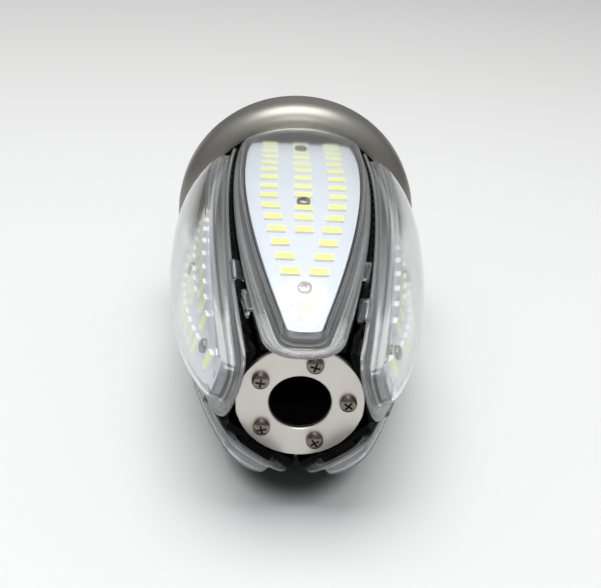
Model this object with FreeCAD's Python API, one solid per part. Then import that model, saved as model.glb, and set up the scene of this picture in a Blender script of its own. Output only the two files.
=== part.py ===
import FreeCAD, Part
import math
import os

V = FreeCAD.Vector

# A corn lamp lying on its side. Millimetres, +Z up, lamp axis along Y, base at the +Y end.
# Every piece is first made round an axis at x = 0, z = 0, with y = 0 at the front of the end
# plate. The last step moves the lamp so that y = 0 is its middle and z = 0 its lowest point.


def arc_radius(drop, reach):
    """Radius of an arc that falls by drop over reach from its level top."""
    return (drop ** 2 + reach ** 2) / (2 * drop)


# Petals round the lamp
petal_count = 5
petal_pitch = 360.0 / petal_count
neighbour_gap = 0.3

# Leaf outline of a light board, seen along the radius: two arcs with cut ends
board_half_width = 19.8
board_tip_half_width = 4.4
board_length = 122.6
board_front_y = -1.6
board_back_y = board_front_y + board_length
board_widest_y = board_front_y + 0.747 * board_length
board_side_radius = arc_radius(board_half_width - board_tip_half_width, board_widest_y - board_front_y)
board_corner_front = 2.0
board_corner_back = 3.5
board_thickness = 1.6

# Clear cover: wall, flange and ends
cover_wall = 1.2
cover_flange = 1.3
cover_board_gap = 1.3
cover_front_room = 2.6
cover_back_room = 4.3
cover_front_y = board_front_y - cover_front_room
cover_back_y = board_back_y + cover_back_room
cover_corner_front = 2.6
cover_corner_back = 8.0

# Flange outline, wider than the board and with a round nose
rim_border = 4.7
rim_half_width = board_half_width + rim_border
rim_tip_half_width = 11.4
flange_step = 0.4
flange_corner_y = cover_front_y - flange_step
flange_nose = 2.0
flange_tip_y = flange_corner_y - flange_nose
flange_corner = 3.0
rim_side_radius = arc_radius(rim_half_width - rim_tip_half_width, board_widest_y - flange_corner_y)

# Level of the carrier rim, set so that neighbours just clear each other
rim_side_room = 0.57
rim_top_radius = (rim_half_width + rim_side_room) / math.tan(math.pi / petal_count)
rim_tip_drop = 14.6
rim_crest_back = 2.0
rim_bend_y = board_widest_y + rim_crest_back
rim_bend = arc_radius(rim_tip_drop, rim_bend_y - flange_corner_y)
rim_thickness = 2.0
rim_inset = 0.3
rim_corner = 2.5

# Level of the board face, bent lengthwise
board_rise = 4.2
board_tip_drop = 13.4
board_top_radius = rim_top_radius + board_rise
board_bend_y = board_front_y + 0.645 * board_length
board_bend = arc_radius(board_tip_drop, board_bend_y - board_front_y)

# Rounded skin of the covers, a body of revolution
skin_rise = 3.3
skin_tip_drop = 19.3
skin_top_radius = math.hypot(board_top_radius, board_half_width) + skin_rise
skin_crest_back = 8.0
skin_bend_y = board_widest_y + skin_crest_back
skin_bend = arc_radius(skin_tip_drop, skin_bend_y - cover_front_y)
nose_drop = 2.1
nose_length = 7.0
nose_bulge = 0.7
tail_length = 14.0
tail_bulge = 2.4

# Snap lugs on the flange: side of the petal and place along it
lug_length = 9.0
lug_drop = 2.4
lug_reach = 1.9
lug_wall = 1.1
lug_root = 0.6
lug_corner = 0.8
lug_places = ((-1, 15.0), (1, 30.0))

# Seal strip between rim and flange
seal_thickness = 0.8
seal_width = 2.2
seal_inset = 0.8
seal_front_width = 1.0

# Light emitters
led_length = 5.7
led_width = 3.0
led_height = 0.7
led_rows = 17
led_first_y = 8.0
led_back_margin = 3.0
led_edge = 7.0
led_column = 11.4
led_screw_gap = 0.6
led_middle_gap = 2.5

# Screws
screw_clearance = 0.1
board_screw_head = 2.25
board_screw_height = 1.3
board_screw_shank = 1.25
board_screw_grip = 1.9
end_screw_head = 2.65
end_screw_height = 2.0
end_screw_shank = 1.5
end_screw_grip = 9.0
end_screw_turn = 15.3

# End plate
plate_drop = 15.1
plate_radius = rim_top_radius - plate_drop
plate_thickness = 1.5
plate_band = 10.05
plate_bore = plate_radius - plate_band
plate_edge = 0.3
plate_clearance = 0.4

# Core extrusion with a slot and a screw port for each petal
plate_overhang = 0.4
bore_step = 0.95
core_radius = plate_radius - plate_overhang
core_bore = plate_bore + bore_step
core_wall = 2.0
core_block_width = 11.5
end_screw_inset = 5.1
end_screw_circle = plate_radius - end_screw_inset
port_wall = 1.4
slot_depth = 1.6
slot_lip = 1.6
slot_width = 6.8
foot_gap = 0.15
web_thickness = 2.6

# Underside of the carrier
carrier_skin = 2.2
carrier_margin = 0.9
pocket_margin = 2.6
fin_thickness = 1.6
fin_spread = 7.5
fin_depth = 6.0
fin_front_y = 14.0
fin_inset = 3.0
fin_back_y = board_back_y - fin_inset

# Collar and screw base
base_radius = 13.1
base_wall = 0.5
base_length = 20.5
base_lap = 6.0
collar_step = 3.4
collar_radius = base_radius + collar_step
collar_wall = 2.4
collar_flange = 2.5
collar_length = 14.0
collar_land = 1.5
spigot_wall = 1.5
neck_step = 2.5
neck_radius = collar_radius + neck_step
cone_length = 4.5
cone_mouth = 8.0
contact_radius = 5.0
contact_height = 2.4
rivet_radius = 1.6
rivet_length = 6.0

# Dome housing
dome_margin = 1.2
dome_radius = skin_top_radius + dome_margin
dome_wall = 2.2
dome_lip_inset = 7.4
dome_lip_length = 8.8
dome_gap = 0.1
dome_lip_radius = dome_radius - dome_lip_inset
dome_front_y = cover_back_y + dome_gap
dome_wide_y = dome_front_y + dome_lip_length
dome_band = 4.0
dome_back_round = 0.69 * (dome_radius - neck_radius)
dome_cone = 2.0
mount_plate_room = 0.9
mount_plate_y = cover_back_y + mount_plate_room
mount_plate_thickness = 2.4
step_width = 1.6
joint_gap = 0.1
tail_inset = 0.8
tail_radius = dome_lip_radius - tail_inset

# Driver inside the dome
driver_margin = 15.0
driver_radius = dome_radius - driver_margin
driver_thickness = 1.6
driver_stand = 4.0
driver_post_radius = 3.2
driver_post_inset = 5.0
driver_post_circle = driver_radius - driver_post_inset
driver_posts = 3
wire_bore = 6.0
driver_screw_head = 2.4
driver_screw_height = 1.5
driver_screw_shank = 1.2
driver_screw_grip = 4.0
capacitor_radius = 5.0
capacitor_length = 14.0
capacitor_x = -0.46 * driver_radius
capacitor_z = 0.18 * driver_radius
transformer_width = 17.0
transformer_height = 14.0
transformer_length = 13.0
transformer_leg = 3.0
winding_gap = 0.6
transformer_x = 14.0
transformer_z = 8.0
choke_outer = 6.5
choke_inner = 3.0
choke_length = 5.0
choke_x = 8.0
choke_z = -15.0

# Leads from driver to base
lead_radius = 0.7
lead_bend = 1.6


def turn(shape, degrees):
    """Turn a copy about the lamp axis; 90 degrees takes +Z to +X."""
    out = shape.copy()
    out.rotate(V(0, 0, 0), V(0, 1, 0), degrees)
    return out


def rod(radius, y0, y1, x=0.0, z=0.0):
    return Part.makeCylinder(radius, y1 - y0, V(x, y0, z), V(0, 1, 0))


def block(width, y0, y1, z0, z1, x=0.0):
    return Part.makeBox(width, y1 - y0, z1 - z0, V(x - width / 2, y0, z0))


def revolve(points):
    """Solid of revolution about the lamp axis from (radius, y) corners."""
    wire = Part.makePolygon([V(r, y, 0) for r, y in points + points[:1]])
    return Part.Face(wire).revolve(V(0, 0, 0), V(0, 1, 0), 360)


def revolve_edges(edges):
    return Part.Face(Part.Wire(edges)).revolve(V(0, 0, 0), V(0, 1, 0), 360)


def bend(top_radius, bend_radius, apex_y, drop=0.0):
    """Solid across the lamp whose top is a lengthwise arc, lowered by drop."""
    reach = 1.4 * dome_radius
    centre = V(-reach, apex_y, top_radius - bend_radius)
    return Part.makeCylinder(bend_radius - drop, 2 * reach, centre, V(1, 0, 0))


def board_level(drop=0.0):
    return bend(board_top_radius, board_bend, board_bend_y, drop)


def rim_level(drop=0.0):
    return bend(rim_top_radius, rim_bend, rim_bend_y, drop)


board_form = (board_half_width, board_side_radius)
rim_form = (rim_half_width, rim_side_radius)


def side(form, y, grow=0.0):
    """Half width of a leaf outline at y."""
    widest, radius = form
    return widest - radius + math.sqrt((radius + grow) ** 2 - (y - board_widest_y) ** 2)


def leaf(form, grow, front, back, corner_front=0.0, corner_back=0.0, nose=0.0):
    """Prism along the radius over a leaf outline grown sideways; nose bows its front edge."""
    edges = []
    for hand in (1, -1):
        stations = [V(hand * side(form, y, grow), y, 0) for y in (front, board_widest_y, back)]
        edges.append(Part.Arc(*stations).toShape())
    for y, bow in ((front, nose), (back, 0.0)):
        left, right = V(-side(form, y, grow), y, 0), V(side(form, y, grow), y, 0)
        edges.append(Part.Arc(left, V(0, y - bow, 0), right).toShape() if bow else Part.makeLine(left, right))
    height = 1.5 * dome_radius
    prism = Part.Face(Part.Wire(Part.__sortEdges__(edges))).extrude(V(0, 0, height))
    for corner, y in ((corner_front, front), (corner_back, back)):
        if corner > 0:
            upright = [e for e in prism.Edges
                       if e.BoundBox.ZLength > height - 1 and abs(e.BoundBox.YMin - y) < 0.01]
            prism = prism.makeFillet(corner, upright)
    return prism


def wedge(gap):
    """Sector that one petal may fill, with half the gap to each neighbour."""
    half = math.radians(petal_pitch / 2)
    start = gap / 2 / math.sin(half)
    reach = 1.6 * dome_radius
    corners = [V(0, 0, start), V(-reach * math.tan(half), 0, reach + start),
               V(reach * math.tan(half), 0, reach + start), V(0, 0, start)]
    face = Part.Face(Part.makePolygon(corners))
    face.translate(V(0, 2 * flange_tip_y, 0))
    return face.extrude(V(0, cover_back_y - 3 * flange_tip_y, 0))


def skin_radius(y):
    return skin_top_radius - skin_bend + math.sqrt(skin_bend ** 2 - (y - skin_bend_y) ** 2)


def skin(inset=0.0):
    """Body of revolution that rounds off the covers, shrunk by inset."""
    nose = V(skin_radius(cover_front_y) - nose_drop - inset, cover_front_y + inset, 0)
    shoulder_y = cover_front_y + nose_length
    shoulder = V(skin_radius(shoulder_y) - inset, shoulder_y, 0)
    hip_y = cover_back_y - tail_length
    hip = V(skin_radius(hip_y) - inset, hip_y, 0)
    tail = V(tail_radius - inset, cover_back_y, 0)
    nose_middle = (nose + shoulder) * 0.5 + V(nose_bulge, -nose_bulge, 0)
    tail_middle = (hip + tail) * 0.5 + V(tail_bulge, tail_bulge * 0.5, 0)
    top = V(skin_radius(skin_bend_y) - inset, skin_bend_y, 0)
    edges = [Part.Arc(nose, nose_middle, shoulder).toShape(), Part.Arc(shoulder, top, hip).toShape(),
             Part.Arc(hip, tail_middle, tail).toShape(), Part.makeLine(tail, V(0, tail.y, 0)),
             Part.makeLine(V(0, tail.y, 0), V(0, nose.y, 0)), Part.makeLine(V(0, nose.y, 0), nose)]
    return revolve_edges(edges)


def screw(head, height, shank, length):
    """Plain pan head screw pointing down, its seat at z = 0."""
    rise = height * 0.5
    low = Part.makeCylinder(head, rise)
    top = Part.makeCone(head, head * 0.68, height - rise, V(0, 0, rise))
    return low.fuse(top).fuse(Part.makeCylinder(shank, length, V(0, 0, -length)))


def hidden_screw(head, height, shank, length):
    """Cheese head screw pointing down, its seat at z = 0."""
    return Part.makeCylinder(head, height).fuse(Part.makeCylinder(shank, length, V(0, 0, -length)))


# Places on the board face, row by row from the tip
board_centre_z = board_top_radius - board_bend
first_angle = math.asin((led_first_y - board_bend_y) / board_bend)
last_angle = math.asin((board_back_y - led_back_margin - board_bend_y) / board_bend)
led_pitch = (last_angle - first_angle) * board_bend / (led_rows - 1)
led_spread = board_screw_head + led_screw_gap + led_width / 2 - led_pitch / 2
tip_screw_row = 1
middle_screw_row = (led_rows - 2) / 2
back_screw_row = led_rows - 2
screw_rows = (tip_screw_row, middle_screw_row, back_screw_row)


def on_board(row, across=0.0, along=0.0):
    angle = first_angle + (row * led_pitch + along) / board_bend
    y = board_bend_y + board_bend * math.sin(angle)
    z = board_centre_z + board_bend * math.cos(angle)
    return FreeCAD.Placement(V(across, y, z), FreeCAD.Rotation(V(1, 0, 0), -math.degrees(angle)))


def led_spots():
    spots = []
    for row in range(led_rows):
        column = min(led_column, side(board_form, on_board(row).Base.y) - led_edge)
        if row > tip_screw_row:
            spots += [on_board(row, -column), on_board(row, column)]
        room = column > led_length + led_middle_gap
        if row == 0 or (room and row not in screw_rows):
            near_screw = abs(row - middle_screw_row) < 1
            along = math.copysign(led_spread, row - middle_screw_row) if near_screw else 0.0
            spots.append(on_board(row, 0, along))
    return spots


def screw_holes(shape):
    for row in screw_rows:
        deep = board_thickness + board_screw_grip + 2 * carrier_skin
        hole = Part.makeCylinder(board_screw_shank + screw_clearance, 2 * deep, V(0, 0, -deep))
        hole.Placement = on_board(row)
        shape = shape.cut(hole)
    return shape


# One petal, made at the top of the lamp
sector = wedge(neighbour_gap)
slot_floor = core_radius - slot_lip - slot_depth
foot_bottom = slot_floor + foot_gap
foot_height = slot_depth - 2 * foot_gap
foot_width = slot_width - 2 * foot_gap
foot_front = plate_thickness + joint_gap
room_for_core = rod(plate_radius + plate_clearance, 2 * flange_tip_y, cover_back_y)
room_for_heads = rod(end_screw_circle + end_screw_head + plate_clearance,
                     -end_screw_height - plate_clearance, 0)
room_for_plate = rod(plate_radius + plate_clearance, -plate_clearance, cover_back_y).fuse(room_for_heads)


def make_board():
    plan = leaf(board_form, 0, board_front_y, board_back_y, board_corner_front, board_corner_back)
    return screw_holes(plan.common(board_level()).cut(board_level(board_thickness)))


def make_leds():
    chips = []
    for spot in led_spots():
        chip = Part.makeBox(led_length, led_width, led_height, V(-led_length / 2, -led_width / 2, 0))
        chip.Placement = spot
        chips.append(chip)
    return Part.makeCompound(chips)


def make_board_screws():
    items = []
    for row in screw_rows:
        item = screw(board_screw_head, board_screw_height, board_screw_shank,
                     board_thickness + board_screw_grip)
        item.Placement = on_board(row)
        items.append(item)
    return Part.makeCompound(items)


def make_carrier():
    rim_low = seal_thickness + rim_thickness
    rim = leaf(rim_form, -rim_inset, flange_corner_y + rim_inset, cover_back_y, rim_corner)
    rim = rim.common(rim_level(seal_thickness)).cut(rim_level(rim_low))
    seat = leaf(board_form, carrier_margin, board_front_y - carrier_margin, board_back_y + carrier_margin)
    seat = seat.common(board_level(board_thickness)).cut(rim_level(rim_low))
    pocket = leaf(board_form, -pocket_margin, board_front_y + pocket_margin, board_back_y - pocket_margin)
    under = pocket.common(board_level(board_thickness + carrier_skin))
    body = rim.fuse(seat).cut(room_for_core).cut(under)
    # Cooling fins, then the web with the foot that slides into the core
    within = pocket.common(board_level(board_thickness + carrier_skin / 2))
    deep = board_level(board_thickness + carrier_skin + fin_depth)
    for x in (-fin_spread, fin_spread):
        fin = block(fin_thickness, fin_front_y, fin_back_y, 0, dome_radius, x)
        body = body.fuse(fin.common(within).cut(deep))
    web = block(web_thickness, foot_front, cover_back_y, foot_bottom, dome_radius).common(within)
    foot = block(foot_width, foot_front, cover_back_y, foot_bottom, foot_bottom + foot_height)
    neck = block(web_thickness, foot_front, cover_back_y, foot_bottom, core_radius + 1)
    body = body.fuse(web).fuse(neck).fuse(foot)
    return screw_holes(body).common(sector)


def make_seal():
    seal_front = flange_corner_y + seal_inset
    seal_back = cover_back_y - seal_inset
    outer = leaf(rim_form, -seal_inset, seal_front, seal_back)
    inner = leaf(rim_form, -seal_inset - seal_width, seal_front + seal_front_width, seal_back - seal_width)
    ring = outer.cut(inner).common(rim_level()).cut(rim_level(seal_thickness))
    return ring.cut(room_for_core).common(sector)


def make_lug(hand, y):
    """Snap lug standing out from the flange's edge, with a skirt that reaches down past the rim."""
    edge = side(rim_form, y)
    level = rim_top_radius - rim_bend + math.sqrt(rim_bend ** 2 - (y - rim_bend_y) ** 2)
    tab = block(lug_reach + lug_root, y - lug_length / 2, y + lug_length / 2, level, level + cover_flange,
                hand * (edge + (lug_reach - lug_root) / 2))
    skirt = block(lug_wall, y - lug_length / 2, y + lug_length / 2, level - lug_drop, level + cover_flange / 2,
                  hand * (edge + lug_reach - lug_wall / 2))
    lug = tab.fuse(skirt).removeSplitter()
    outer = [e for e in lug.Edges if e.BoundBox.XLength < 0.01 and e.BoundBox.YLength < 0.01
             and abs(e.BoundBox.Center.x) > edge + lug_reach - 0.01]
    lug = lug.makeFillet(lug_corner, outer)
    lug.rotate(V(0, y, level), V(1, 0, 0), -math.degrees(math.asin((y - rim_bend_y) / rim_bend)))
    lug.rotate(V(hand * edge, y, level), V(0, 0, 1),
               -hand * math.degrees(math.asin((board_widest_y - y) / rim_side_radius)))
    return lug


def make_cover():
    wall_plan = leaf(board_form, cover_board_gap + cover_wall, cover_front_y, cover_back_y,
                     cover_corner_front, cover_corner_back)
    void_plan = leaf(board_form, cover_board_gap, cover_front_y + cover_wall, cover_back_y - cover_wall,
                     cover_corner_front - cover_wall, cover_corner_back - cover_wall)
    shell = wall_plan.common(skin()).cut(rim_level())
    void = void_plan.common(skin(cover_wall))
    flange = leaf(rim_form, 0, flange_corner_y, cover_back_y, flange_corner, 0, flange_nose)
    flange = flange.common(rim_level(-cover_flange)).cut(rim_level())
    body = shell.fuse(flange).cut(void)
    for hand, y in lug_places:
        body = body.fuse(make_lug(hand, y))
    return body.cut(room_for_plate).common(sector)


board = make_board()
leds = make_leds()
board_screws = make_board_screws()
carrier = make_carrier()
seal = make_seal()
cover = make_cover()


# Core, end plate and the screws at both ends
def port_hole(y0, y1):
    return rod(end_screw_shank + screw_clearance, y0, y1, 0, end_screw_circle)


def ring_of_screws(make, seat_y, facing, grip):
    """Five screws in the core's ports, heads facing -Y or +Y."""
    items = []
    for index in range(petal_count):
        item = make(end_screw_head, end_screw_height, end_screw_shank, grip)
        item.rotate(V(0, 0, 0), V(1, 0, 0), -90 * facing)
        item.translate(V(0, seat_y, end_screw_circle))
        items.append(turn(item, index * petal_pitch + end_screw_turn))
    return Part.makeCompound(items)


core = rod(core_bore + core_wall, plate_thickness, mount_plate_y)
rail = block(core_block_width, plate_thickness, mount_plate_y, 0, core_radius)
rail = rail.common(rod(core_radius, plate_thickness, mount_plate_y))
lobe = rod(end_screw_shank + port_wall, plate_thickness, mount_plate_y, 0, end_screw_circle)
slot = block(slot_width, plate_thickness, mount_plate_y, slot_floor, slot_floor + slot_depth)
mouth = block(web_thickness + 2 * foot_gap, plate_thickness, mount_plate_y, slot_floor, core_radius + 1)
end_plate = rod(plate_radius, 0, plate_thickness).cut(rod(plate_bore, 0, plate_thickness))
front_rims = [e for e in end_plate.Edges if abs(e.BoundBox.YMax) < 1e-6 and len(e.Vertexes) == 1]
end_plate = end_plate.makeChamfer(plate_edge, front_rims)
for index in range(petal_count):
    core = core.fuse(turn(rail, index * petal_pitch))
    core = core.fuse(turn(lobe, index * petal_pitch + end_screw_turn))
core = core.cut(rod(core_bore, plate_thickness, mount_plate_y))
for index in range(petal_count):
    core = core.cut(turn(slot.fuse(mouth), index * petal_pitch))
    core = core.cut(turn(port_hole(plate_thickness, mount_plate_y), index * petal_pitch + end_screw_turn))
    end_plate = end_plate.cut(turn(port_hole(0, plate_thickness), index * petal_pitch + end_screw_turn))
core = core.removeSplitter()
end_screws = ring_of_screws(screw, 0, -1, plate_thickness + end_screw_grip)

# Dome housing: a shell, round outside and plain inside, with a step for the mounting plate
cavity_front = mount_plate_y + mount_plate_thickness
band_back = dome_wide_y + dome_band
round_back = band_back + dome_back_round
dome_back_y = round_back + dome_cone
plate_seat = dome_lip_radius - 2 * joint_gap
bulge = math.sqrt(0.5)


def dome_outside():
    """Solid dome from its lip to its neck."""
    lip = V(dome_lip_radius, dome_front_y, 0)
    front = V(dome_radius, dome_wide_y, 0)
    lip_middle = V(dome_lip_radius + (dome_radius - dome_lip_radius) * bulge,
                   dome_front_y + (dome_wide_y - dome_front_y) * (1 - bulge), 0)
    shoulder = V(dome_radius, band_back, 0)
    back = V(dome_radius - dome_back_round, round_back, 0)
    back_middle = V(dome_radius - dome_back_round * (1 - bulge), band_back + dome_back_round * bulge, 0)
    end = V(neck_radius, dome_back_y, 0)
    edges = [Part.Arc(lip, lip_middle, front).toShape(), Part.makeLine(front, shoulder),
             Part.Arc(shoulder, back_middle, back).toShape(), Part.makeLine(back, end),
             Part.makeLine(end, V(0, end.y, 0)), Part.makeLine(V(0, end.y, 0), V(0, lip.y, 0)),
             Part.makeLine(V(0, lip.y, 0), lip)]
    return revolve_edges(edges)


inner_radius = dome_radius - dome_wall
inner_round = dome_back_round - dome_wall
cavity = revolve([(0, cavity_front), (plate_seat - step_width, cavity_front), (inner_radius, dome_wide_y),
                  (inner_radius, band_back),
                  (inner_radius - inner_round * (1 - bulge), band_back + inner_round * bulge),
                  (inner_radius - inner_round, round_back - dome_wall),
                  (neck_radius, dome_back_y - dome_wall), (0, dome_back_y - dome_wall)])
dome = dome_outside().cut(cavity)
dome = dome.cut(rod(plate_seat + joint_gap, dome_front_y, cavity_front))
dome = dome.cut(rod(collar_radius + joint_gap, cavity_front, dome_back_y))

# Mounting plate with its posts
driver_y = cavity_front + driver_stand
driver_back = driver_y + driver_thickness
mounting_plate = rod(plate_seat, mount_plate_y, cavity_front).cut(rod(wire_bore, mount_plate_y, cavity_front))
driver_board = rod(driver_radius, driver_y, driver_back).cut(rod(wire_bore, driver_y, driver_back))
driver_screws = []
for index in range(driver_posts):
    angle = index * 360.0 / driver_posts
    post = rod(driver_post_radius, mount_plate_y, driver_y, 0, driver_post_circle)
    hole = rod(driver_screw_shank + screw_clearance, mount_plate_y, driver_back, 0, driver_post_circle)
    mounting_plate = mounting_plate.fuse(turn(post, angle)).cut(turn(hole, angle))
    driver_board = driver_board.cut(turn(hole, angle))
    item = hidden_screw(driver_screw_head, driver_screw_height, driver_screw_shank,
                        driver_thickness + driver_screw_grip)
    item.rotate(V(0, 0, 0), V(1, 0, 0), -90)
    item.translate(V(0, driver_back, driver_post_circle))
    driver_screws.append(turn(item, angle))
driver_screws = Part.makeCompound(driver_screws)
for index in range(petal_count):
    hole = port_hole(mount_plate_y, cavity_front)
    mounting_plate = mounting_plate.cut(turn(hole, index * petal_pitch + end_screw_turn))
core_screws = ring_of_screws(hidden_screw, cavity_front, 1, mount_plate_thickness + end_screw_grip)

# Driver parts on the back of their board
capacitor = rod(capacitor_radius, driver_back, driver_back + capacitor_length, capacitor_x, capacitor_z)
transformer_top = driver_back + transformer_length
winding = rod(transformer_width / 2 - transformer_leg - winding_gap, driver_back + transformer_leg,
              transformer_top - transformer_leg, transformer_x, transformer_z)
frame = block(transformer_width, driver_back, transformer_top, transformer_z - transformer_height / 2,
              transformer_z + transformer_height / 2, transformer_x)
window = block(transformer_width - 2 * transformer_leg, driver_back + transformer_leg,
               transformer_top - transformer_leg, transformer_z - transformer_height / 2,
               transformer_z + transformer_height / 2, transformer_x)
transformer = frame.cut(window).fuse(winding)
choke = rod(choke_outer, driver_back, driver_back + choke_length, choke_x, choke_z)
choke = choke.cut(rod(choke_inner, driver_back, driver_back + choke_length, choke_x, choke_z))

# Collar with a spigot inside the base shell, and the screw base
collar_front = dome_back_y - dome_wall
collar_back = dome_back_y + collar_length
collar_bore = collar_radius - collar_wall
base_front = collar_back
base_back = base_front + base_length
cone_back = base_back + cone_length
spigot_radius = base_radius - base_wall - joint_gap
spigot_bore = spigot_radius - spigot_wall
spigot_back = collar_back + base_lap
collar = revolve([(collar_bore, collar_front), (collar_radius, collar_front), (collar_radius, dome_back_y),
                  (neck_radius, dome_back_y), (neck_radius, dome_back_y + collar_flange),
                  (spigot_radius, collar_back - collar_land),
                  (spigot_radius, spigot_back), (spigot_bore, spigot_back),
                  (spigot_bore, collar_back - collar_wall), (collar_bore, dome_back_y)])
base_shell = revolve([(base_radius - base_wall, base_front), (base_radius, base_front), (base_radius, base_back),
                      (cone_mouth, cone_back - base_wall), (cone_mouth - base_wall, cone_back - 2 * base_wall),
                      (base_radius - base_wall, base_back - base_wall)])
rivet_hole = rivet_radius + joint_gap
base_insulator = revolve([(rivet_hole, base_back), (base_radius - 3 * base_wall, base_back - base_wall),
                          (cone_mouth - 1.5 * base_wall, cone_back - 2 * base_wall),
                          (cone_mouth - 1.5 * base_wall, cone_back - base_wall),
                          (contact_radius + base_wall, cone_back), (rivet_hole, cone_back)])
contact_top = cone_back + contact_height
rivet_front = cone_back - rivet_length
base_contact = revolve([(0, rivet_front), (rivet_radius, rivet_front), (rivet_radius, cone_back),
                        (contact_radius, cone_back), (contact_radius, cone_back + contact_height * 0.35),
                        (contact_radius * 0.6, contact_top), (0, contact_top)])
live_lead = rod(lead_radius, driver_y, rivet_front)
neutral_x = spigot_bore - lead_radius - joint_gap
neutral_bend = spigot_back + lead_radius
neutral_lead = rod(lead_radius, driver_back, neutral_bend, neutral_x)
reach_x = neutral_x + lead_bend
elbow = Part.Face(Part.Wire(Part.makeCircle(lead_radius, V(neutral_x, neutral_bend, 0), V(0, 1, 0))))
elbow = elbow.revolve(V(reach_x, neutral_bend, 0), V(0, 0, -1), 90)
reach_out = Part.makeCylinder(lead_radius, base_radius - base_wall - 2 * joint_gap - reach_x,
                              V(reach_x, neutral_bend + lead_bend, 0), V(1, 0, 0))
neutral_lead = neutral_lead.fuse(elbow).fuse(reach_out)

# Place the lamp and write one file for each node
shift = V(0, -(flange_tip_y + contact_top) / 2, dome_radius)
nodes = {
    "end_plate": end_plate,
    "end_screws": end_screws,
    "core": core,
    "mounting_plate": mounting_plate,
    "core_screws": core_screws,
    "dome_housing": dome,
    "driver_board": driver_board,
    "driver_screws": driver_screws,
    "driver_capacitor": capacitor,
    "driver_transformer": transformer,
    "driver_choke": choke,
    "collar": collar,
    "base_shell": base_shell,
    "base_insulator": base_insulator,
    "base_contact": base_contact,
    "live_lead": live_lead,
    "neutral_lead": neutral_lead,
}
petal = {"carrier": carrier, "seal": seal, "led_board": board, "leds": leds,
         "board_screws": board_screws, "cover": cover}
for index in range(petal_count):
    for name, shape in petal.items():
        nodes["%s_%d" % (name, index + 1)] = turn(shape, -index * petal_pitch)

os.makedirs("parts", exist_ok=True)
for name, shape in nodes.items():
    placed = shape.copy()
    placed.translate(shift)
    placed.exportStep("parts/%s.step" % name)
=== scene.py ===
import bpy
import bmesh
import math
from mathutils import Matrix, Vector


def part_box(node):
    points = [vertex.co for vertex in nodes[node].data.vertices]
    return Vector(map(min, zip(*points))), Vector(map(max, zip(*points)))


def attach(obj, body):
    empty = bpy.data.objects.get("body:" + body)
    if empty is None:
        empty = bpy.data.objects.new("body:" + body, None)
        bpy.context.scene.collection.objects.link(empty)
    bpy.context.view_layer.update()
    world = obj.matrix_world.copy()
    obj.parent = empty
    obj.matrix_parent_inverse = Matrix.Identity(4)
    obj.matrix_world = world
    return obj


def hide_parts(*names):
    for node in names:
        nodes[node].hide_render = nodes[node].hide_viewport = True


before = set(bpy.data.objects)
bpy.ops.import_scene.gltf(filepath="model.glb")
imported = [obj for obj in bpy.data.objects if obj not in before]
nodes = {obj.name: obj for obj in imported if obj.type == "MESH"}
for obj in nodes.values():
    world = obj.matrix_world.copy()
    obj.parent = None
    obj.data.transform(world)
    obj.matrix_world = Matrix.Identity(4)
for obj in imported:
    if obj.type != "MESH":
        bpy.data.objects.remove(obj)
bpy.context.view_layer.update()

# The lamp lies on its side along Y, its tip at the low end. Metres, where nothing else is said.
PETALS = 5
MM = 0.001
dome_low, dome_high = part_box("dome_housing")
AXIS_Z = (dome_low[2] + dome_high[2]) / 2
DOME_RADIUS = (dome_high[2] - dome_low[2]) / 2
FACE_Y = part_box("end_plate")[0][1]

# Camera, found from the end plate, the dome and the petals in the photograph
IMAGE_WIDTH = 601
FOCAL_PIXELS = 1000
SENSOR_WIDTH = 36
CLIP_START = 0.01
CAMERA_TARGET = Vector((1.09, 66.06, 0.0)) * MM
CAMERA_DISTANCE = 354.3 * MM
CAMERA_TILT = math.radians(29.3)
CAMERA_ROLL = math.radians(-1.69)
LAMP_LEAN = math.radians(4.4)

# Floor, touched by the dome's rim and by the two lower petals; its colour darkens with the depth,
# painted shade for the light falling off further back
FLOOR_TILT = math.radians(2.35)
RIM_CONTACT_Y = 134.2 * MM
FLOOR_SIZE = 6.0
FLOOR_FADE = (0.06, 0.5)
FLOOR_NEAR = (0.678, 0.679, 0.676)
FLOOR_FAR = (0.66, 0.655, 0.645)

# Painted contact shadow on the floor between the lower petals: place, half sizes and soft edge
SHADE_Y = 40.0 * MM
SHADE_SIZE = (21.0 * MM, 32.0 * MM)
SHADE_EDGE = (0.6, 1.5)
SHADE_COLOUR = (0.06, 0.06, 0.06)

# Daylight, and what reflections see of it from the horizon up to a height
DAYLIGHT = (0.50, 0.51, 0.52)
SKY_LOW = (0.16, 0.16, 0.16)
SKY_HIGH = (0.8, 0.8, 0.8)
SKY_HEIGHT = 0.9

# Lamps: name, place, target, size and power in watts
LAMPS = (
    ("softbox_top", (-0.05, 0.03, 1.1), (-0.05, 0.03, 0.0), (0.9, 0.8), 11.4),
    ("softbox_front", (0.0, -0.75, 0.75), (0.0, 0.0, 0.03), (0.35, 0.3), 1.8),
)

# Light boards: lengthwise bend and the rows of emitters
BOARD_RADIUS = 38.706 * MM
BOARD_BEND = 240.027 * MM
BOARD_BEND_Y = 77.477 * MM
ROW_FIRST_Y = 8.0 * MM
ROW_PITCH = 6.95 * MM
SCREW_ROWS = (1, 7.5, 15)
EMITTER_INSET = 0.1 * MM
EMITTER_DEPTH = 0.05 * MM

# Marks near each board's tip: across, along, outer and inner radius
PADS = (
    (-3.9 * MM, 8.0 * MM, 0.4 * MM, 0.0),
    (-0.9 * MM, 2.9 * MM, 0.85 * MM, 0.55 * MM),
)
PAD_THICKNESS = 0.05 * MM
PAD_SIDES = 24

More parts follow.
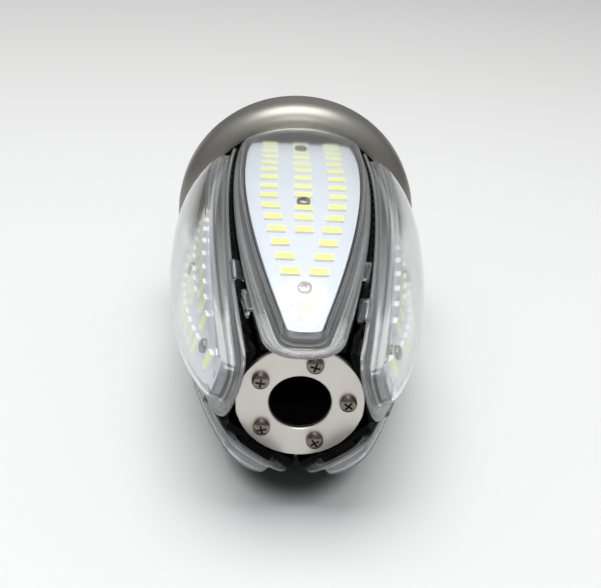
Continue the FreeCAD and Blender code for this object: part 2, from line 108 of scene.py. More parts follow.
# Clear covers: bend of the flange, leaf outlines as half width and side radius, and the crown
FLANGE_RADIUS = 34.506 * MM
FLANGE_BEND = 329.408 * MM
FLANGE_BEND_Y = 91.982 * MM
LEAF_WIDEST_Y = 89.982 * MM
RIM_LEAF = (24.0 * MM, 350.9 * MM)
WALL_LEAF = (22.3 * MM, 282.5 * MM)
COVER_FRONT_Y = -4.2 * MM
COVER_BACK_Y = 125.2 * MM
NOSE_Y = -6.5 * MM
COVER_WALL = 1.2 * MM
CROWN_RADIUS = 46.7 * MM
CROWN_BEND = 280.15 * MM
CROWN_BEND_Y = 97.98 * MM
TAIL_Y = 98.0 * MM
TAIL_DROP = 7.6 * MM

# Loops round a cover. Rim and foot of the wall: inset and rise over the flange's underside, in mm
LOOP_STATIONS = 84
RIM_LOOPS = ((0.0, 0.15), (0.0, 0.9), (0.12, 1.18), (0.4, 1.3))
RIM_ROUNDS = (7.5 * MM, 2.0 * MM)
FOOT_LOOPS = ((-0.9, 1.3), (-0.5, 1.36), (-0.2, 1.6), (0.0, 2.1))
FOOT_RISE = 2.1 * MM

# Shoulder: inset in mm, share of the way up to the crown, setback of the nose in mm
SHOULDER_LOOPS = ((0.12, 0.35, 0.1), (0.25, 0.68, 0.35), (0.4, 0.86, 0.9), (0.75, 0.95, 2.0),
                  (1.4, 0.99, 2.8), (2.6, 1.0, 4.5))
WALL_ROUNDS = (3.5, 9.0)

# Crown: shares of the width, and in mm the inset of its sides, run of its ends, setback of its nose
CROWN_SHARES = (0.8, 0.55, 0.28, 0.0)
CROWN_ROUNDS = (7.0 * MM, 12.0 * MM)
CROWN_INSET = 2.6
CROWN_RUN = 6.0
CROWN_SETBACK = 1.9

# The loops' ends follow a curve of this power, where 2 is a circle
END_POWER = 2.6

# Part of a cover with a painted reflection of the surroundings: what lies this low over the flange,
# and faces that stand this steep.
# On the tail the faces that look along the lamp stay clear.
REFLECTION_RISE = 1.6 * MM
REFLECTION_SLOPE = 0.62
TAIL_SLOPE = 0.75

# Lugs: side and place along; size across, along and up; how far the skirt reaches down
LUGS = ((-1, 15.0 * MM), (1, 30.0 * MM))
LUG_SIZE = (2.0 * MM, 9.0 * MM, 1.3 * MM)
LUG_ROOT = 0.5 * MM
LUG_SKIRT = 1.1 * MM
LUG_DROP = 2.4 * MM
SKIRT_OVERLAP = 0.8
LUG_BEVEL = 0.35 * MM

# Carriers and seals end here, just in front of the end plate's face
TRIM_Y = -0.3 * MM

# Screw base: place of the shell along the lamp axis and its rolled thread
SHELL_FRONT = 174.194 * MM
SHELL_BACK = 194.694 * MM
SHELL_END = 199.194 * MM
SHELL_RADIUS = 13.1 * MM
SHELL_MOUTH = 8.0 * MM
SHELL_WALL = 0.4 * MM
SHELL_GRID = (72, 110)
THREAD_FRONT = 6.4 * MM
THREAD_PITCH = 3.629 * MM
THREAD_DEPTH = 1.1 * MM
THREAD_FADE = 1.2 * MM

# Screws: head radius and height, and how far each is turned on from the one before
BOARD_SCREW = (2.25 * MM, 1.3 * MM)
BOARD_SCREW_TURN = 0.5
END_SCREW = (2.65 * MM, 2.0 * MM)
END_SCREW_CIRCLE = 14.306 * MM
END_SCREW_START = math.radians(15.3)
END_SCREW_TURN = 0.9

# Screw heads: height of the wall, then steps by scale and rise, as shares of the head's size
HEAD_SIDES = 40
HEAD_WALL = 0.5
HEAD_STEPS = ((0.94, 0.22), (0.80, 0.16), (0.58, 0.12))

# Cross recess: a blade's length, width and height and where its middle is, and which of its faces
# take painted shade
BLADE_SIZE = (1.15, 0.24, 0.7)
BLADE_MIDDLE = 0.82
DARK_REACH = 0.92
DARK_SLOPE = 0.3
DARK_LEVEL = 0.55

# Joining distances of points, and the normal's share from which a face counts as facing that way
WELD = 0.001 * MM
COVER_WELD = 0.002 * MM
FACING = 0.9

# Smooth shading goes over edges that bend less than this, in degrees
HEAD_SMOOTH = 28
SHEET_SMOOTH = 40
TRIM_SMOOTH = 30


def lamp_point(x, y, z):
    """A place given from the lamp axis at the front of the end plate."""
    return Vector((x, FACE_Y + y, AXIS_Z + z))


def about_axis(angle):
    """Turns about the lamp axis; a positive angle takes the top towards +X."""
    centre = Matrix.Translation(Vector((0, 0, AXIS_Z)))
    return centre @ Matrix.Rotation(angle, 4, "Y") @ centre.inverted()


def petal_turn(index):
    """Takes the top petal to the place of another, counted from 0."""
    return about_axis(-index * math.tau / PETALS)


# Shader maths

IOR_PLASTIC = 1.49
CLOUD_SCALE = 40.0
NOISE_ROUGHNESS = 0.55
LINES_SCALE = (0.006, 1, 1)
# Greys of the painted reflection on the covers' sides, dark to light
REFLECTION_STOPS = tuple((place, (grey,) * 3)
                   for place, grey in ((0.36, 0.08), (0.48, 0.38), (0.55, 0.54), (0.66, 0.95)))


class Wire:
    """A socket that can be added, scaled and taken away as a number can."""

    def __init__(self, finish, socket):
        self.finish = finish
        self.socket = socket

    def maths(self, operation, first, second):
        return self.finish.node("ShaderNodeMath", {"operation": operation}, {0: first, 1: second})

    def __add__(self, other):
        return self.maths("ADD", self, other)

    def __radd__(self, other):
        return self.maths("ADD", other, self)

    def __sub__(self, other):
        return self.maths("SUBTRACT", self, other)

    def __rsub__(self, other):
        return self.maths("SUBTRACT", other, self)

    def __mul__(self, other):
        return self.maths("MULTIPLY", self, other)

    def __rmul__(self, other):
        return self.maths("MULTIPLY", other, self)

    def __truediv__(self, other):
        return self.maths("DIVIDE", self, other)

    def __rtruediv__(self, other):
        return self.maths("DIVIDE", other, self)


class Finish:
    """One material, put together node by node."""

    def __init__(self, name):
        self.material = bpy.data.materials.new(name)
        self.material.use_nodes = True
        self.tree = self.material.node_tree
        self.tree.nodes.clear()

    def node(self, kind, settings=None, values=None, output=0):
        """A node with its settings, its sockets' values or links, and the output that is used."""
        made = self.tree.nodes.new(kind)
        for key, setting in (settings or {}).items():
            if key == "stops":
                self.set_stops(made.color_ramp, setting)
            else:
                setattr(made, key, setting)
        for key, value in (values or {}).items():
            if isinstance(value, Wire):
                self.tree.links.new(value.socket, made.inputs[key])
            else:
                made.inputs[key].default_value = value
        return Wire(self, made.outputs[output])

    def set_stops(self, ramp, stops):
        while len(ramp.elements) < len(stops):
            ramp.elements.new(0.5)
        for element, (place, colour) in zip(ramp.elements, stops):
            element.position = place
            element.color = (*colour, 1)

    def place(self):
        return self.node("ShaderNodeTexCoord", output="Object")

    def lines(self):
        """The lines' own map, in millimetres: along the petal and across its side."""
        lines = self.node("ShaderNodeUVMap", {"uv_map": "lines"})
        return self.node("ShaderNodeMapping", None, {"Vector": lines, "Scale": LINES_SCALE})

    def noise(self, scale, detail=3.0, stretch=(1, 1, 1)):
        vector = self.node("ShaderNodeMapping", None, {"Vector": self.place(), "Scale": stretch})
        return self.node("ShaderNodeTexNoise", None,
                         {"Vector": vector, "Scale": scale, "Detail": detail,
                          "Roughness": NOISE_ROUGHNESS})

    def line_noise(self, lines, scale, detail):
        return self.node("ShaderNodeTexNoise", None,
                         {"Vector": lines, "Scale": scale, "Detail": detail})

    def soft_step(self, value, low, high):
        """From 0 at the low value to 1 at the high one, with a smooth start and end."""
        return self.node("ShaderNodeMapRange", {"interpolation_type": "SMOOTHSTEP"},
                         {0: value, 1: low, 2: high, 3: 0.0, 4: 1.0})

    def shades(self, factor, dark, light):
        """A colour between two, by a factor from 0 to 1."""
        light = light if isinstance(light, Wire) else (*light, 1)
        return self.node("ShaderNodeMix", {"data_type": "RGBA"},
                         {0: factor, 6: (*dark, 1), 7: light}, output=2)

    def bump(self, height, depth):
        return self.node("ShaderNodeBump", None,
                         {"Height": height, "Distance": depth, "Strength": 1.0})

    def principled(self, **values):
        """The shader, its sockets named as Blender does but in lower case with underscores."""
        words = {key.replace("_", " ").title(): value for key, value in values.items()}
        names = {"Ior": "IOR", "Specular": "Specular IOR Level"}
        return self.node("ShaderNodeBsdfPrincipled", None,
                         {names.get(key, key): value for key, value in words.items()})

    def done(self, shader):
        output = self.tree.nodes.new("ShaderNodeOutputMaterial")
        self.tree.links.new(shader.socket, output.inputs["Surface"])
        return self.material


def satin(name, dark, light, roughness, grain=900.0, spread=0.06, depth=0.01, metallic=0.0,
          stretch=(1, 1, 1), **more):
    """A finish with a fine grain, a slow change of colour and a roughness that follows it.

    The depth of the grain is in millimetres.
    """
    finish = Finish(name)
    slow = finish.noise(CLOUD_SCALE, 4.0)
    fine = finish.noise(grain, 3.0, stretch)
    colour = finish.shades(slow, dark, light)
    rough = slow * spread + fine * spread + (roughness - spread)
    normal = finish.bump(fine, depth * MM)
    shader = finish.principled(base_color=colour, roughness=rough, metallic=metallic,
                               normal=normal, **more)
    return finish.done(shader)


def let_light_through(finish, shader, tint):
    """Ends a clear finish: the lamps' rays pass it straight."""
    open_way = finish.node("ShaderNodeBsdfTransparent", None, {"Color": (*tint, 1)})
    shadow = finish.node("ShaderNodeLightPath", output="Is Shadow Ray")
    diffuse = finish.node("ShaderNodeLightPath", output="Is Diffuse Ray")
    lamps = finish.node("ShaderNodeMath", {"operation": "MAXIMUM"}, {0: shadow, 1: diffuse})
    mixed = finish.node("ShaderNodeMixShader", None, {0: lamps, 1: shader, 2: open_way})
    return finish.done(mixed)


def clear_plastic(name):
    """Clear moulding that bends what is seen through it and lets the lamps' light through."""
    finish = Finish(name)
    ripple = finish.noise(60.0, 2.0)
    normal = finish.bump(ripple, 0.03 * MM)
    glass = finish.principled(base_color=(0.97, 0.985, 0.99, 1), roughness=0.07, ior=IOR_PLASTIC,
                              transmission_weight=1.0, normal=normal)
    return let_light_through(finish, glass, (0.96, 0.97, 0.975))


def side_reflection_plastic(name):
    """The covers' moulded sides, greyer than their crown, with fine lines along them; the grey and
    the lines are painted reflection of the surroundings on the clear walls.
    """
    finish = Finish(name)
    lines = finish.lines()
    slow = finish.line_noise(lines, 0.9, 3.0)
    fine = finish.line_noise(lines, 2.2, 1.0)
    mark = finish.node("ShaderNodeValToRGB", {"stops": REFLECTION_STOPS},
                       {"Fac": slow * 0.6 + fine * 0.4})
    reflection_layer = finish.principled(base_color=mark, roughness=0.12, ior=IOR_PLASTIC,
                             transmission_weight=0.81)
    return let_light_through(finish, reflection_layer, (0.85, 0.86, 0.87))


# Finishes: dark and light colour, roughness, grain, spread of the roughness, depth, metallic

STEEL = satin("polished_steel", (0.58, 0.555, 0.51), (0.66, 0.635, 0.59),
              0.4, 1500, 0.05, 0.002, 1.0)
SCREW_STEEL = satin("screw_steel", (0.11, 0.10, 0.08), (0.29, 0.268, 0.22),
                    0.2, 1800, 0.08, 0.004, 1.0)
# Painted shade for the faces deep in the screws' cross recess
SCREW_RECESS_SHADE = satin("screw_recess_painted_shade", (0.02, 0.018, 0.012), (0.06, 0.055, 0.04),
                   0.3, 1800, 0.08, 0.004, 0.6)
BLACK_METAL = satin("black_anodised", (0.002, 0.002, 0.002), (0.005, 0.005, 0.005),
                    0.6, 1200, 0.06, 0.006, 0.0, (1, 0.02, 1), specular=0.05)
SEAL_RUBBER = satin("black_silicone", (0.006, 0.006, 0.006), (0.012, 0.012, 0.012),
                    0.6, 1500, 0.06, 0.01, specular=0.08)
BOARD_WHITE = satin("board_white", (0.57, 0.59, 0.635), (0.60, 0.63, 0.675),
                    0.34, 2500, 0.05, 0.003)
EMITTER_WHITE = satin("emitter_body", (0.86, 0.86, 0.84), (0.92, 0.92, 0.90),
                      0.4, 3000, 0.05, 0.002)
EMITTER_YELLOW = satin("emitter_phosphor", (0.78, 0.80, 0.12), (0.83, 0.85, 0.20),
                       0.3, 6000, 0.08, 0.004)
DOME_METAL = satin("dome_gunmetal", (0.24, 0.233, 0.207), (0.29, 0.281, 0.25),
                   0.38, 3500, 0.05, 0.006, 0.95)
COLLAR_PLASTIC = satin("collar_plastic", (0.02, 0.02, 0.022), (0.035, 0.035, 0.037),
                       0.45, 2500, 0.06, 0.02)
NICKEL = satin("base_nickel", (0.60, 0.59, 0.56), (0.72, 0.71, 0.68),
               0.22, 1500, 0.06, 0.002, 1.0)
BLACK_GLASS = satin("base_glass", (0.01, 0.01, 0.012), (0.02, 0.02, 0.022),
                    0.1, 800, 0.03, 0.002)
TINNED = satin("contact_tin", (0.55, 0.52, 0.45), (0.68, 0.65, 0.57),
               0.36, 1500, 0.08, 0.01, 1.0)
GREEN_BOARD = satin("driver_green", (0.02, 0.14, 0.06), (0.03, 0.20, 0.09),
                    0.35, 1500, 0.05, 0.004)
SLEEVE_BLACK = satin("sleeve_black", (0.015, 0.015, 0.02), (0.03, 0.03, 0.04),
                     0.4, 1500, 0.05, 0.004)
TAPE_YELLOW = satin("tape_yellow", (0.62, 0.48, 0.10), (0.72, 0.58, 0.16),
                    0.4, 1500, 0.05, 0.004)
FERRITE = satin("ferrite", (0.05, 0.045, 0.04), (0.09, 0.08, 0.07),
                0.55, 1500, 0.05, 0.02)
WIRE_RED = satin("wire_red", (0.45, 0.03, 0.02), (0.55, 0.05, 0.03),
                 0.45, 1500, 0.05, 0.004)
CLEAR = clear_plastic("clear_cover")
SIDE_REFLECTION = side_reflection_plastic("cover_side_painted_reflection")

CAD_FINISHES = {
    "end_plate": STEEL,
    "end_screws": SCREW_STEEL,
    "core": BLACK_METAL,
    "mounting_plate": BLACK_METAL,
    "core_screws": SCREW_STEEL,
    "dome_housing": DOME_METAL,
    "driver_board": GREEN_BOARD,
    "driver_screws": SCREW_STEEL,
    "driver_capacitor": SLEEVE_BLACK,
    "driver_transformer": TAPE_YELLOW,
    "driver_choke": FERRITE,
    "collar": COLLAR_PLASTIC,
    "base_shell": NICKEL,
    "base_insulator": BLACK_GLASS,
    "base_contact": TINNED,
    "live_lead": WIRE_RED,
    "neutral_lead": SLEEVE_BLACK,
    "carrier": BLACK_METAL,
    "seal": SEAL_RUBBER,
    "led_board": BOARD_WHITE,
    "leds": EMITTER_WHITE,
    "board_screws": SCREW_STEEL,
    "cover": CLEAR,
}


# Pieces


def paint(piece, *finishes):
    piece.data.materials.clear()
    for finish in finishes:
        piece.data.materials.append(finish)


def dress_frame():
    """Every node of the frame takes its own finish."""
    for name, node in nodes.items():
        stem = name.rsplit("_", 1)[0] if name[-1].isdigit() else name
        paint(node, CAD_FINISHES[stem])


def deselect():
    if bpy.context.object and bpy.context.object.mode != "OBJECT":
        bpy.ops.object.mode_set(mode="OBJECT")
    bpy.ops.object.select_all(action="DESELECT")


def work_on(piece):
    deselect()
    piece.select_set(True)
    bpy.context.view_layer.objects.active = piece


def edit(piece):
    """Opens the piece in edit mode with all of it selected."""
    work_on(piece)
    bpy.ops.object.mode_set(mode="EDIT")
    bpy.ops.mesh.select_all(action="SELECT")


def leave_edit():
    bpy.ops.object.mode_set(mode="OBJECT")


def select_faces(piece, wanted):
    """Selects the faces that a test on the face picks, with the piece in edit mode."""
    mesh = bmesh.from_edit_mesh(piece.data)
    for part in (*mesh.faces, *mesh.edges, *mesh.verts):
        part.select_set(False)
    mesh.select_mode = {"FACE"}
    for face in mesh.faces:
        face.select_set(bool(wanted(face)))
    mesh.select_flush_mode()
    bmesh.update_edit_mesh(piece.data)


def faces_up(face):
    return face.normal.z > FACING


def use_second_finish(piece):
    """The faces selected in edit mode take the piece's second material."""
    piece.active_material_index = 1
    bpy.ops.object.material_slot_assign()


def apply_modifier(piece, kind, **settings):
    work_on(piece)
    modifier = piece.modifiers.new(kind.lower(), kind)
    for key, setting in settings.items():
        setattr(modifier, key, setting)
    bpy.ops.object.modifier_apply(modifier=modifier.name)


def smooth(piece, degrees):
    """Smooth shading over every edge that bends less than an angle."""
    work_on(piece)
    bpy.ops.object.shade_smooth_by_angle(angle=math.radians(degrees))


def copy_of_node(node, name):
    """The node's mesh as a new piece, its loose triangles joined again."""
    piece = bpy.data.objects.new(name, nodes[node].data.copy())
    bpy.context.scene.collection.objects.link(piece)
    edit(piece)
    bpy.ops.mesh.remove_doubles(threshold=WELD)
    leave_edit()
    return piece


def placed_copy(piece, name, matrix):
    """A copy with its own mesh, its place in the mesh."""
    copy = bpy.data.objects.new(name, piece.data.copy())
    bpy.context.scene.collection.objects.link(copy)
    copy.data.transform(matrix)
    return copy


def joined(pieces, name):
    deselect()
    for piece in pieces:
        piece.select_set(True)
    bpy.context.view_layer.objects.active = pieces[0]
    bpy.ops.object.join()
    whole = bpy.context.object
    whole.name = name
    return whole


def close_grid(piece, distance):
    """Joins the seam of a grid that was rolled up, and turns its faces outwards."""
    edit(piece)
    bpy.ops.mesh.remove_doubles(threshold=distance)
    bpy.ops.mesh.normals_make_consistent(inside=False)
    leave_edit()


def stand_for(piece, node):
    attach(piece, "root")
    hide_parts(node)


def petal_copies(piece, stem):
    """The top petal's piece and its copies on the other petals."""
    for index in range(1, PETALS):
        copy = placed_copy(piece, "%s_piece_%d" % (stem, index + 1), petal_turn(index))
        stand_for(copy, "%s_%d" % (stem, index + 1))
    piece.name = "%s_piece_1" % stem
    stand_for(piece, "%s_1" % stem)


def board_angle(y):
    """Angle of the board's bend at a place along the lamp."""
    return math.asin((y - BOARD_BEND_Y) / BOARD_BEND)


def on_board(angle, across=0.0):
    """Place on the top petal's board face: its Z is the face's normal."""
    height = BOARD_RADIUS - BOARD_BEND + BOARD_BEND * math.cos(angle)
    place = lamp_point(across, BOARD_BEND_Y + BOARD_BEND * math.sin(angle), height)
    return Matrix.Translation(place) @ Matrix.Rotation(-angle, 4, "X")


def make_emitters():
    """The boxes of one board, each with a sunk phosphor window."""
    piece = copy_of_node("leds_1", "emitters")
    paint(piece, EMITTER_WHITE, EMITTER_YELLOW)
    edit(piece)
    bpy.ops.mesh.dissolve_limited(angle_limit=math.radians(1))
    select_faces(piece, faces_up)
    bpy.ops.mesh.inset(thickness=EMITTER_INSET, depth=0, use_individual=True)
    bpy.ops.mesh.inset(thickness=EMITTER_INSET / 4, depth=-EMITTER_DEPTH, use_individual=True)
    use_second_finish(piece)
    leave_edit()
    return piece


def cut_blade(head, head_radius, height, angle):
    """Cuts one slot of the cross recess."""
    bpy.ops.mesh.primitive_cube_add(size=1, location=(0, 0, height * BLADE_MIDDLE))
    blade = bpy.context.object
    length, width, depth = BLADE_SIZE
    blade.scale = (head_radius * length, head_radius * width, height * depth)
    blade.rotation_euler = (0, 0, angle)
    bpy.ops.object.transform_apply(location=True, rotation=True, scale=True)
    apply_modifier(head, "BOOLEAN", operation="DIFFERENCE", solver="EXACT", object=blade)
    bpy.data.objects.remove(blade)


def make_screw(name, head_radius, height):
    """Pan head with a cross recess, seat at z = 0."""

    # Faces deep in the cross recess, which take the painted shade
    def is_recess(face):
        centre = face.calc_center_median()
        inside = math.hypot(*centre.xy) < head_radius * DARK_REACH
        return inside and (abs(face.normal.z) < DARK_SLOPE or centre.z < height * DARK_LEVEL)

    bpy.ops.mesh.primitive_cylinder_add(vertices=HEAD_SIDES, radius=head_radius,
                                        depth=height * HEAD_WALL,
                                        location=(0, 0, height * HEAD_WALL / 2))
    head = bpy.context.object
    head.name = name
    bpy.ops.object.transform_apply(location=True)
    edit(head)
    select_faces(head, faces_up)
    for scale, rise in HEAD_STEPS:
        bpy.ops.mesh.extrude_region_move(TRANSFORM_OT_translate={"value": (0, 0, height * rise)})
        bpy.ops.transform.resize(value=(scale, scale, 1))
    leave_edit()
    for angle in (0, math.pi / 2):
        cut_blade(head, head_radius, height, angle)
    # The recess faces take the second finish, a painted shade
    paint(head, SCREW_STEEL, SCREW_RECESS_SHADE)
    edit(head)
    select_faces(head, is_recess)
    use_second_finish(head)
    leave_edit()
    smooth(head, HEAD_SMOOTH)
    return head


def make_board_screws():
    model = make_screw("board_screw", *BOARD_SCREW)
    heads = []
    for row in SCREW_ROWS:
        place = on_board(board_angle(ROW_FIRST_Y) + row * ROW_PITCH / BOARD_BEND)
        own_turn = Matrix.Rotation(BOARD_SCREW_TURN * row, 4, "Z")
        heads.append(placed_copy(model, "head", place @ own_turn))
    bpy.data.objects.remove(model)
    return joined(heads, "board_screws")


def make_end_screws():
    model = make_screw("end_screw", *END_SCREW)
    place = Matrix.Translation(lamp_point(0, 0, END_SCREW_CIRCLE))
    seat = place @ Matrix.Rotation(math.pi / 2, 4, "X")
    heads = []
    for index in range(PETALS):
        round_plate = about_axis(index * math.tau / PETALS + END_SCREW_START)
        own_turn = Matrix.Rotation(END_SCREW_TURN * index, 4, "Z")
        heads.append(placed_copy(model, "head", round_plate @ seat @ own_turn))
    bpy.data.objects.remove(model)
    return joined(heads, "end_screw_heads")


def bend_level(top, bend, bend_y, y):
    """Height above the lamp axis of an arc along the petal with its highest place given."""
    return top - bend + math.sqrt(bend ** 2 - (y - bend_y) ** 2)


def flange_level(y):
    """Height above the lamp axis of the flange's underside on the top petal."""
    return bend_level(FLANGE_RADIUS, FLANGE_BEND, FLANGE_BEND_Y, y)


def crown_level(x, y):
    """Height above the lamp axis of the crown, a body of revolution that falls at the dome."""
    radius = bend_level(CROWN_RADIUS, CROWN_BEND, CROWN_BEND_Y, y)
    tail = max(0.0, (y - TAIL_Y) / (COVER_BACK_Y - TAIL_Y))
    return math.sqrt((radius - TAIL_DROP * tail ** 3) ** 2 - x ** 2)


def round_end(distance, reach):
    """Share of the width near an end that is a little squarer than a circle."""
    if distance >= reach:
        return 1.0
    return (1 - (1 - max(distance, 0.0) / reach) ** END_POWER) ** (1 / END_POWER)


def half_width(form, y):
    """Half the width of a leaf with round sides."""
    widest, radius = form
    return widest - radius + math.sqrt(radius ** 2 - (y - LEAF_WIDEST_Y) ** 2)


def loop_place(ring, station):
    """A point of one loop round the cover: across and along the petal."""
    form, inset, ends, rounds, share = ring
    turn = math.tau * station / (2 * LOOP_STATIONS)
    y = ends[0] + (ends[1] - ends[0]) * (1 - math.cos(turn)) / 2
    width = (half_width(form, y) - inset) * share
    width *= round_end(y - ends[0], rounds[0]) * round_end(ends[1] - y, rounds[1])
    return (width if station <= LOOP_STATIONS else -width), y


def wall_rounds(inset):
    return tuple((reach + inset) * MM for reach in WALL_ROUNDS)


def cover_rings():
    """Loops from the flange's edge over the wall to the ridge.

    Each is a ring (leaf, inset, ends, rounds of the ends, share of the width), its rise over the
    flange's underside, and its share of the way from there up to the crown.
    """
    rings = []
    for inset, rise in RIM_LOOPS:
        ends = (NOSE_Y + inset * MM, COVER_BACK_Y)
        rings.append(((RIM_LEAF, inset * MM, ends, RIM_ROUNDS, 1.0), rise * MM, 0.0))
    for inset, rise in FOOT_LOOPS:
        ends = (COVER_FRONT_Y + inset * MM, COVER_BACK_Y)
        rings.append(((WALL_LEAF, inset * MM, ends, wall_rounds(0.0), 1.0), rise * MM, 0.0))
    for inset, share, setback in SHOULDER_LOOPS:
        ends = (COVER_FRONT_Y + setback * MM, COVER_BACK_Y - inset * MM)
        ring = (WALL_LEAF, inset * MM, ends, wall_rounds(inset), 1.0)
        rings.append((ring, FOOT_RISE * (1 - share), share))
    for share in CROWN_SHARES:
        inset = CROWN_INSET * MM + (1 - share) * CROWN_RUN * MM
        ends = (COVER_FRONT_Y + inset + CROWN_SETBACK * MM, COVER_BACK_Y - inset)
        rings.append(((WALL_LEAF, CROWN_INSET * MM, ends, CROWN_ROUNDS, share), 0.0, 1.0))
    return rings


def has_painted_reflection(face):
    """A cover's flange, sides and nose take the painted reflection; its crown and the fall at the
    dome are clear.
    """
    centre = face.calc_center_median()
    along = centre.y - FACE_Y
    on_flange = centre.z - AXIS_Z < flange_level(along) + REFLECTION_RISE
    on_tail = along > TAIL_Y and abs(face.normal.y) > TAIL_SLOPE
    return on_flange or (abs(face.normal.z) < REFLECTION_SLOPE and not on_tail)


def make_lug(hand, along):
    """Small ear on the flange's edge with a skirt that reaches past the rim."""
    level = flange_level(along)
    edge = half_width(RIM_LEAF, along)
    reach, length, thickness = LUG_SIZE
    ear = (reach + LUG_ROOT, thickness, -LUG_ROOT, 0.0)
    skirt = (LUG_SKIRT, LUG_DROP + thickness * SKIRT_OVERLAP, reach - LUG_SKIRT, -LUG_DROP)
    parts = []
    for width, height, start, low in (ear, skirt):
        bpy.ops.mesh.primitive_cube_add(size=1)
        part = bpy.context.object
        middle = (hand * (edge + start + width / 2), 0, level + low + height / 2)
        part.data.transform(Matrix.Diagonal((width, length, height, 1)))
        part.data.transform(Matrix.Translation(middle))
        apply_modifier(part, "BEVEL", width=LUG_BEVEL, segments=2)
        parts.append(part)
    lug = joined(parts, "lug")
    lean = math.asin((LEAF_WIDEST_Y - along) / RIM_LEAF[1])
    pivot = Matrix.Translation((hand * edge, 0, level))
    turned = Matrix.Rotation(-hand * lean, 4, "Z") @ Matrix.Rotation(lean, 4, "X")
    lug.data.transform(pivot @ turned @ pivot.inverted())
    lug.data.transform(Matrix.Translation(lamp_point(0, along, 0)))
    paint(lug, CLEAR)
    return lug


def roll_cover(piece, rings):
    """Lays a flat grid over the loops and draws the map of the lines on it."""
    lines = piece.data.uv_layers.new(name="lines")
    line_map = {}
    for vertex in piece.data.vertices:
        station = round((vertex.co.x + 1) * LOOP_STATIONS)
        row = round((vertex.co.y + 1) / 2 * (len(rings) - 1))
        ring, rise, share = rings[row]
        x, y = loop_place(ring, station % (2 * LOOP_STATIONS))
        low = flange_level(y) + rise
        z = low + (crown_level(x, y) - low) * share
        vertex.co = lamp_point(x, y, z)
        # The second value grows up the side, which keeps the lines along the petal
        line_map[vertex.index] = (y / MM, (z - low) / MM + rise / MM * 2 - ring[1] / MM)
    for loop in piece.data.loops:
        lines.data[loop.index].uv = line_map[loop.vertex_index]


def make_cover():
    """The clear cover as one sheet with rounded shoulders, its walls and flange grey with a painted
    reflection.
    """
    rings = cover_rings()
    deselect()
    bpy.ops.mesh.primitive_grid_add(x_subdivisions=2 * LOOP_STATIONS,
                                    y_subdivisions=len(rings) - 1, size=2)
    piece = bpy.context.object
    piece.name = "cover"
    roll_cover(piece, rings)
    paint(piece, CLEAR, SIDE_REFLECTION)
    close_grid(piece, COVER_WELD)
    edit(piece)
    # The flange, sides and nose take the painted reflection
    select_faces(piece, has_painted_reflection)
    use_second_finish(piece)
    leave_edit()
    crown = max(piece.data.polygons, key=lambda face: face.center.z)
    if crown.normal.z < 0:
        piece.data.flip_normals()
    apply_modifier(piece, "SOLIDIFY", thickness=COVER_WALL, offset=-1, use_even_offset=True)
    smooth(piece, SHEET_SMOOTH)
    return joined([piece] + [make_lug(hand, along) for hand, along in LUGS], "cover")


def shell_profile(along):
    """Radius of the base shell's envelope at a distance from its front edge."""
    straight = SHELL_BACK - SHELL_FRONT
    if along <= straight:
        return SHELL_RADIUS
    part = (along - straight) / (SHELL_END - SHELL_BACK)
    return SHELL_RADIUS + (SHELL_MOUTH - SHELL_RADIUS) * min(part, 1.0)


def thread_share(along):
    """How much of the thread's depth is present there, from 0 to 1."""
    straight = SHELL_BACK - SHELL_FRONT
    rise = (along - THREAD_FRONT) / THREAD_FADE
    fall = (straight - along) / THREAD_FADE
    return max(0.0, min(1.0, rise, fall))


def make_base_shell():
    """Sheet rolled round the lamp axis with a round thread pressed into it."""
    deselect()
    round_it, along_it = SHELL_GRID
    bpy.ops.mesh.primitive_grid_add(x_subdivisions=round_it, y_subdivisions=along_it, size=2)
    piece = bpy.context.object
    length = SHELL_END - SHELL_FRONT
    for vertex in piece.data.vertices:
        angle = vertex.co.x * math.pi
        along = (vertex.co.y + 1) / 2 * length
        wave = 0.5 - 0.5 * math.cos(math.tau * along / THREAD_PITCH - angle)
        radius = shell_profile(along) - THREAD_DEPTH * wave * thread_share(along)
        vertex.co = lamp_point(radius * math.sin(angle), SHELL_FRONT + along,
                               radius * math.cos(angle))
    close_grid(piece, WELD)
    apply_modifier(piece, "SOLIDIFY", thickness=SHELL_WALL, offset=-1)
    smooth(piece, SHEET_SMOOTH)
    piece.name = "base_shell_threaded"
    paint(piece, NICKEL)
    return piece


def make_trimmed(node, name, finish):
    """A copy of a piece under the top cover, its tip cut off so that the plate is seen whole."""
    piece = copy_of_node(node, name)
    edit(piece)
    bpy.ops.mesh.bisect(plane_co=lamp_point(0, TRIM_Y, 0), plane_no=(0, -1, 0), use_fill=True,
                        clear_outer=True)
    leave_edit()
    paint(piece, finish)
    smooth(piece, TRIM_SMOOTH)
    return piece


def make_pads():
    """A drilled mark and a ring near the tip of every board, both in the dark ferrite finish."""
    parts = []
    for across, along, outer, inner in PADS:
        bpy.ops.mesh.primitive_cylinder_add(vertices=PAD_SIDES, radius=outer, depth=PAD_THICKNESS)
        pad = bpy.context.object
        paint(pad, FERRITE)
        if inner:
            edit(pad)
            select_faces(pad, lambda face: abs(face.normal.z) > FACING)
            bpy.ops.mesh.inset(thickness=outer - inner, use_individual=True)
            bpy.ops.mesh.delete(type="FACE")
            leave_edit()
        pad.data.transform(on_board(board_angle(along), across))
        parts.append(pad)
    whole = joined(parts, "board_pads")
    pads = [placed_copy(whole, "pads", petal_turn(index)) for index in range(1, PETALS)]
    whole = joined([whole] + pads, "board_pads")
    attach(whole, "root")


dress_frame()
petal_copies(make_cover(), "cover")
petal_copies(make_trimmed("carrier_1", "carrier", BLACK_METAL), "carrier")
petal_copies(make_trimmed("seal_1", "seal", SEAL_RUBBER), "seal")
make_pads()
stand_for(make_base_shell(), "base_shell")
petal_copies(make_emitters(), "leds")
petal_copies(make_board_screws(), "board_screws")
stand_for(make_end_screws(), "end_screws")


# Stage


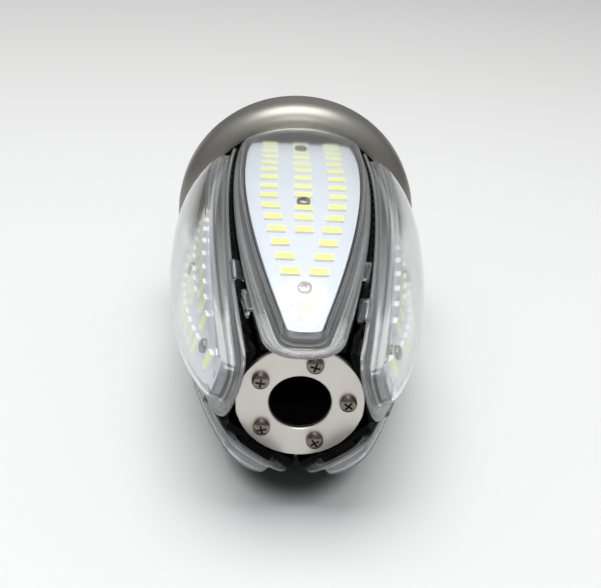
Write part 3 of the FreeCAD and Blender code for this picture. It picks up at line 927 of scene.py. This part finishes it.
def make_floor():
    """Paper under the lamp, with painted shade that darkens it further back and a soft painted
    contact shadow between the lower petals.
    """
    finish = Finish("floor_paper_painted_shade")
    aside = finish.node("ShaderNodeSeparateXYZ", None, {0: finish.place()}, output=0)
    depth = finish.node("ShaderNodeSeparateXYZ", None, {0: finish.place()}, output=1)
    # Painted shade: the paper goes from the near colour to the darker far one further back
    paper = finish.shades(finish.soft_step(depth, *FLOOR_FADE), FLOOR_NEAR, FLOOR_FAR)
    # Painted contact shadow: inside a soft ellipse the paper turns to the shadow colour
    over = aside / SHADE_SIZE[0]
    along = (depth - (FACE_Y + SHADE_Y)) / SHADE_SIZE[1]
    unshadowed_share = finish.soft_step(along * along + over * over, *SHADE_EDGE)
    colour = finish.shades(unshadowed_share, SHADE_COLOUR, paper)
    material = finish.done(finish.principled(base_color=colour, roughness=0.75, specular=0.2))
    bpy.ops.mesh.primitive_plane_add(size=FLOOR_SIZE)
    floor = bpy.context.object
    floor.name = "floor"
    paint(floor, material)
    contact = Vector((0, FACE_Y + RIM_CONTACT_Y, AXIS_Z - DOME_RADIUS))
    floor.data.transform(Matrix.Translation(contact) @ Matrix.Rotation(-FLOOR_TILT, 4, "X"))


def make_lamp(name, place, target, size, power):
    light = bpy.data.lights.new(name, "AREA")
    light.shape = "RECTANGLE"
    light.size, light.size_y = size
    light.energy = power
    lamp = bpy.data.objects.new(name, light)
    bpy.context.scene.collection.objects.link(lamp)
    lamp.location = place
    way = Vector(target) - Vector(place)
    lamp.rotation_euler = way.to_track_quat("-Z", "Y").to_euler()


def make_world():
    """Even daylight; for reflections it darkens towards the horizon, as in a room."""
    world = bpy.data.worlds.new("studio")
    world.use_nodes = True
    tree = world.node_tree
    background = tree.nodes["Background"]
    way = tree.nodes.new("ShaderNodeTexCoord")
    parts = tree.nodes.new("ShaderNodeSeparateXYZ")
    tree.links.new(way.outputs["Generated"], parts.inputs[0])
    ramp = tree.nodes.new("ShaderNodeValToRGB")
    stops = ((0.0, SKY_LOW), (SKY_HEIGHT, SKY_HIGH))
    for element, (height, colour) in zip(ramp.color_ramp.elements, stops):
        element.position = height
        element.color = (*colour, 1)
    tree.links.new(parts.outputs[2], ramp.inputs[0])
    ray = tree.nodes.new("ShaderNodeLightPath")
    mix = tree.nodes.new("ShaderNodeMix")
    mix.data_type = "RGBA"
    mix.inputs[6].default_value = (*DAYLIGHT, 1)
    tree.links.new(ray.outputs["Is Glossy Ray"], mix.inputs[0])
    tree.links.new(ramp.outputs[0], mix.inputs[7])
    tree.links.new(mix.outputs[2], background.inputs["Color"])
    background.inputs["Strength"].default_value = 1.0
    bpy.context.scene.world = world


def make_stage():
    make_floor()
    for name, place, target, size, power in LAMPS:
        make_lamp(name, place, target, size, power)
    make_world()
    bpy.context.scene.view_settings.view_transform = "Standard"


def make_camera():
    """The photograph's camera; the lamp's own lean is taken up by turning the camera."""
    right = Vector((1, 0, 0))
    up = Vector((0, math.sin(CAMERA_TILT), math.cos(CAMERA_TILT)))
    back = Vector((0, -math.cos(CAMERA_TILT), math.sin(CAMERA_TILT)))
    side = right * math.cos(CAMERA_ROLL) + up * math.sin(CAMERA_ROLL)
    over = up * math.cos(CAMERA_ROLL) - right * math.sin(CAMERA_ROLL)
    axes = Matrix((side, over, back)).transposed().to_4x4()
    place = Matrix.Translation(lamp_point(*(CAMERA_TARGET + back * CAMERA_DISTANCE)))
    data = bpy.data.cameras.new("camera")
    data.sensor_width = SENSOR_WIDTH
    data.lens = SENSOR_WIDTH * FOCAL_PIXELS / IMAGE_WIDTH
    data.clip_start = CLIP_START
    camera = bpy.data.objects.new("camera", data)
    bpy.context.scene.collection.objects.link(camera)
    camera.matrix_world = about_axis(-LAMP_LEAN) @ place @ axes
    bpy.context.scene.camera = camera


make_stage()
make_camera()
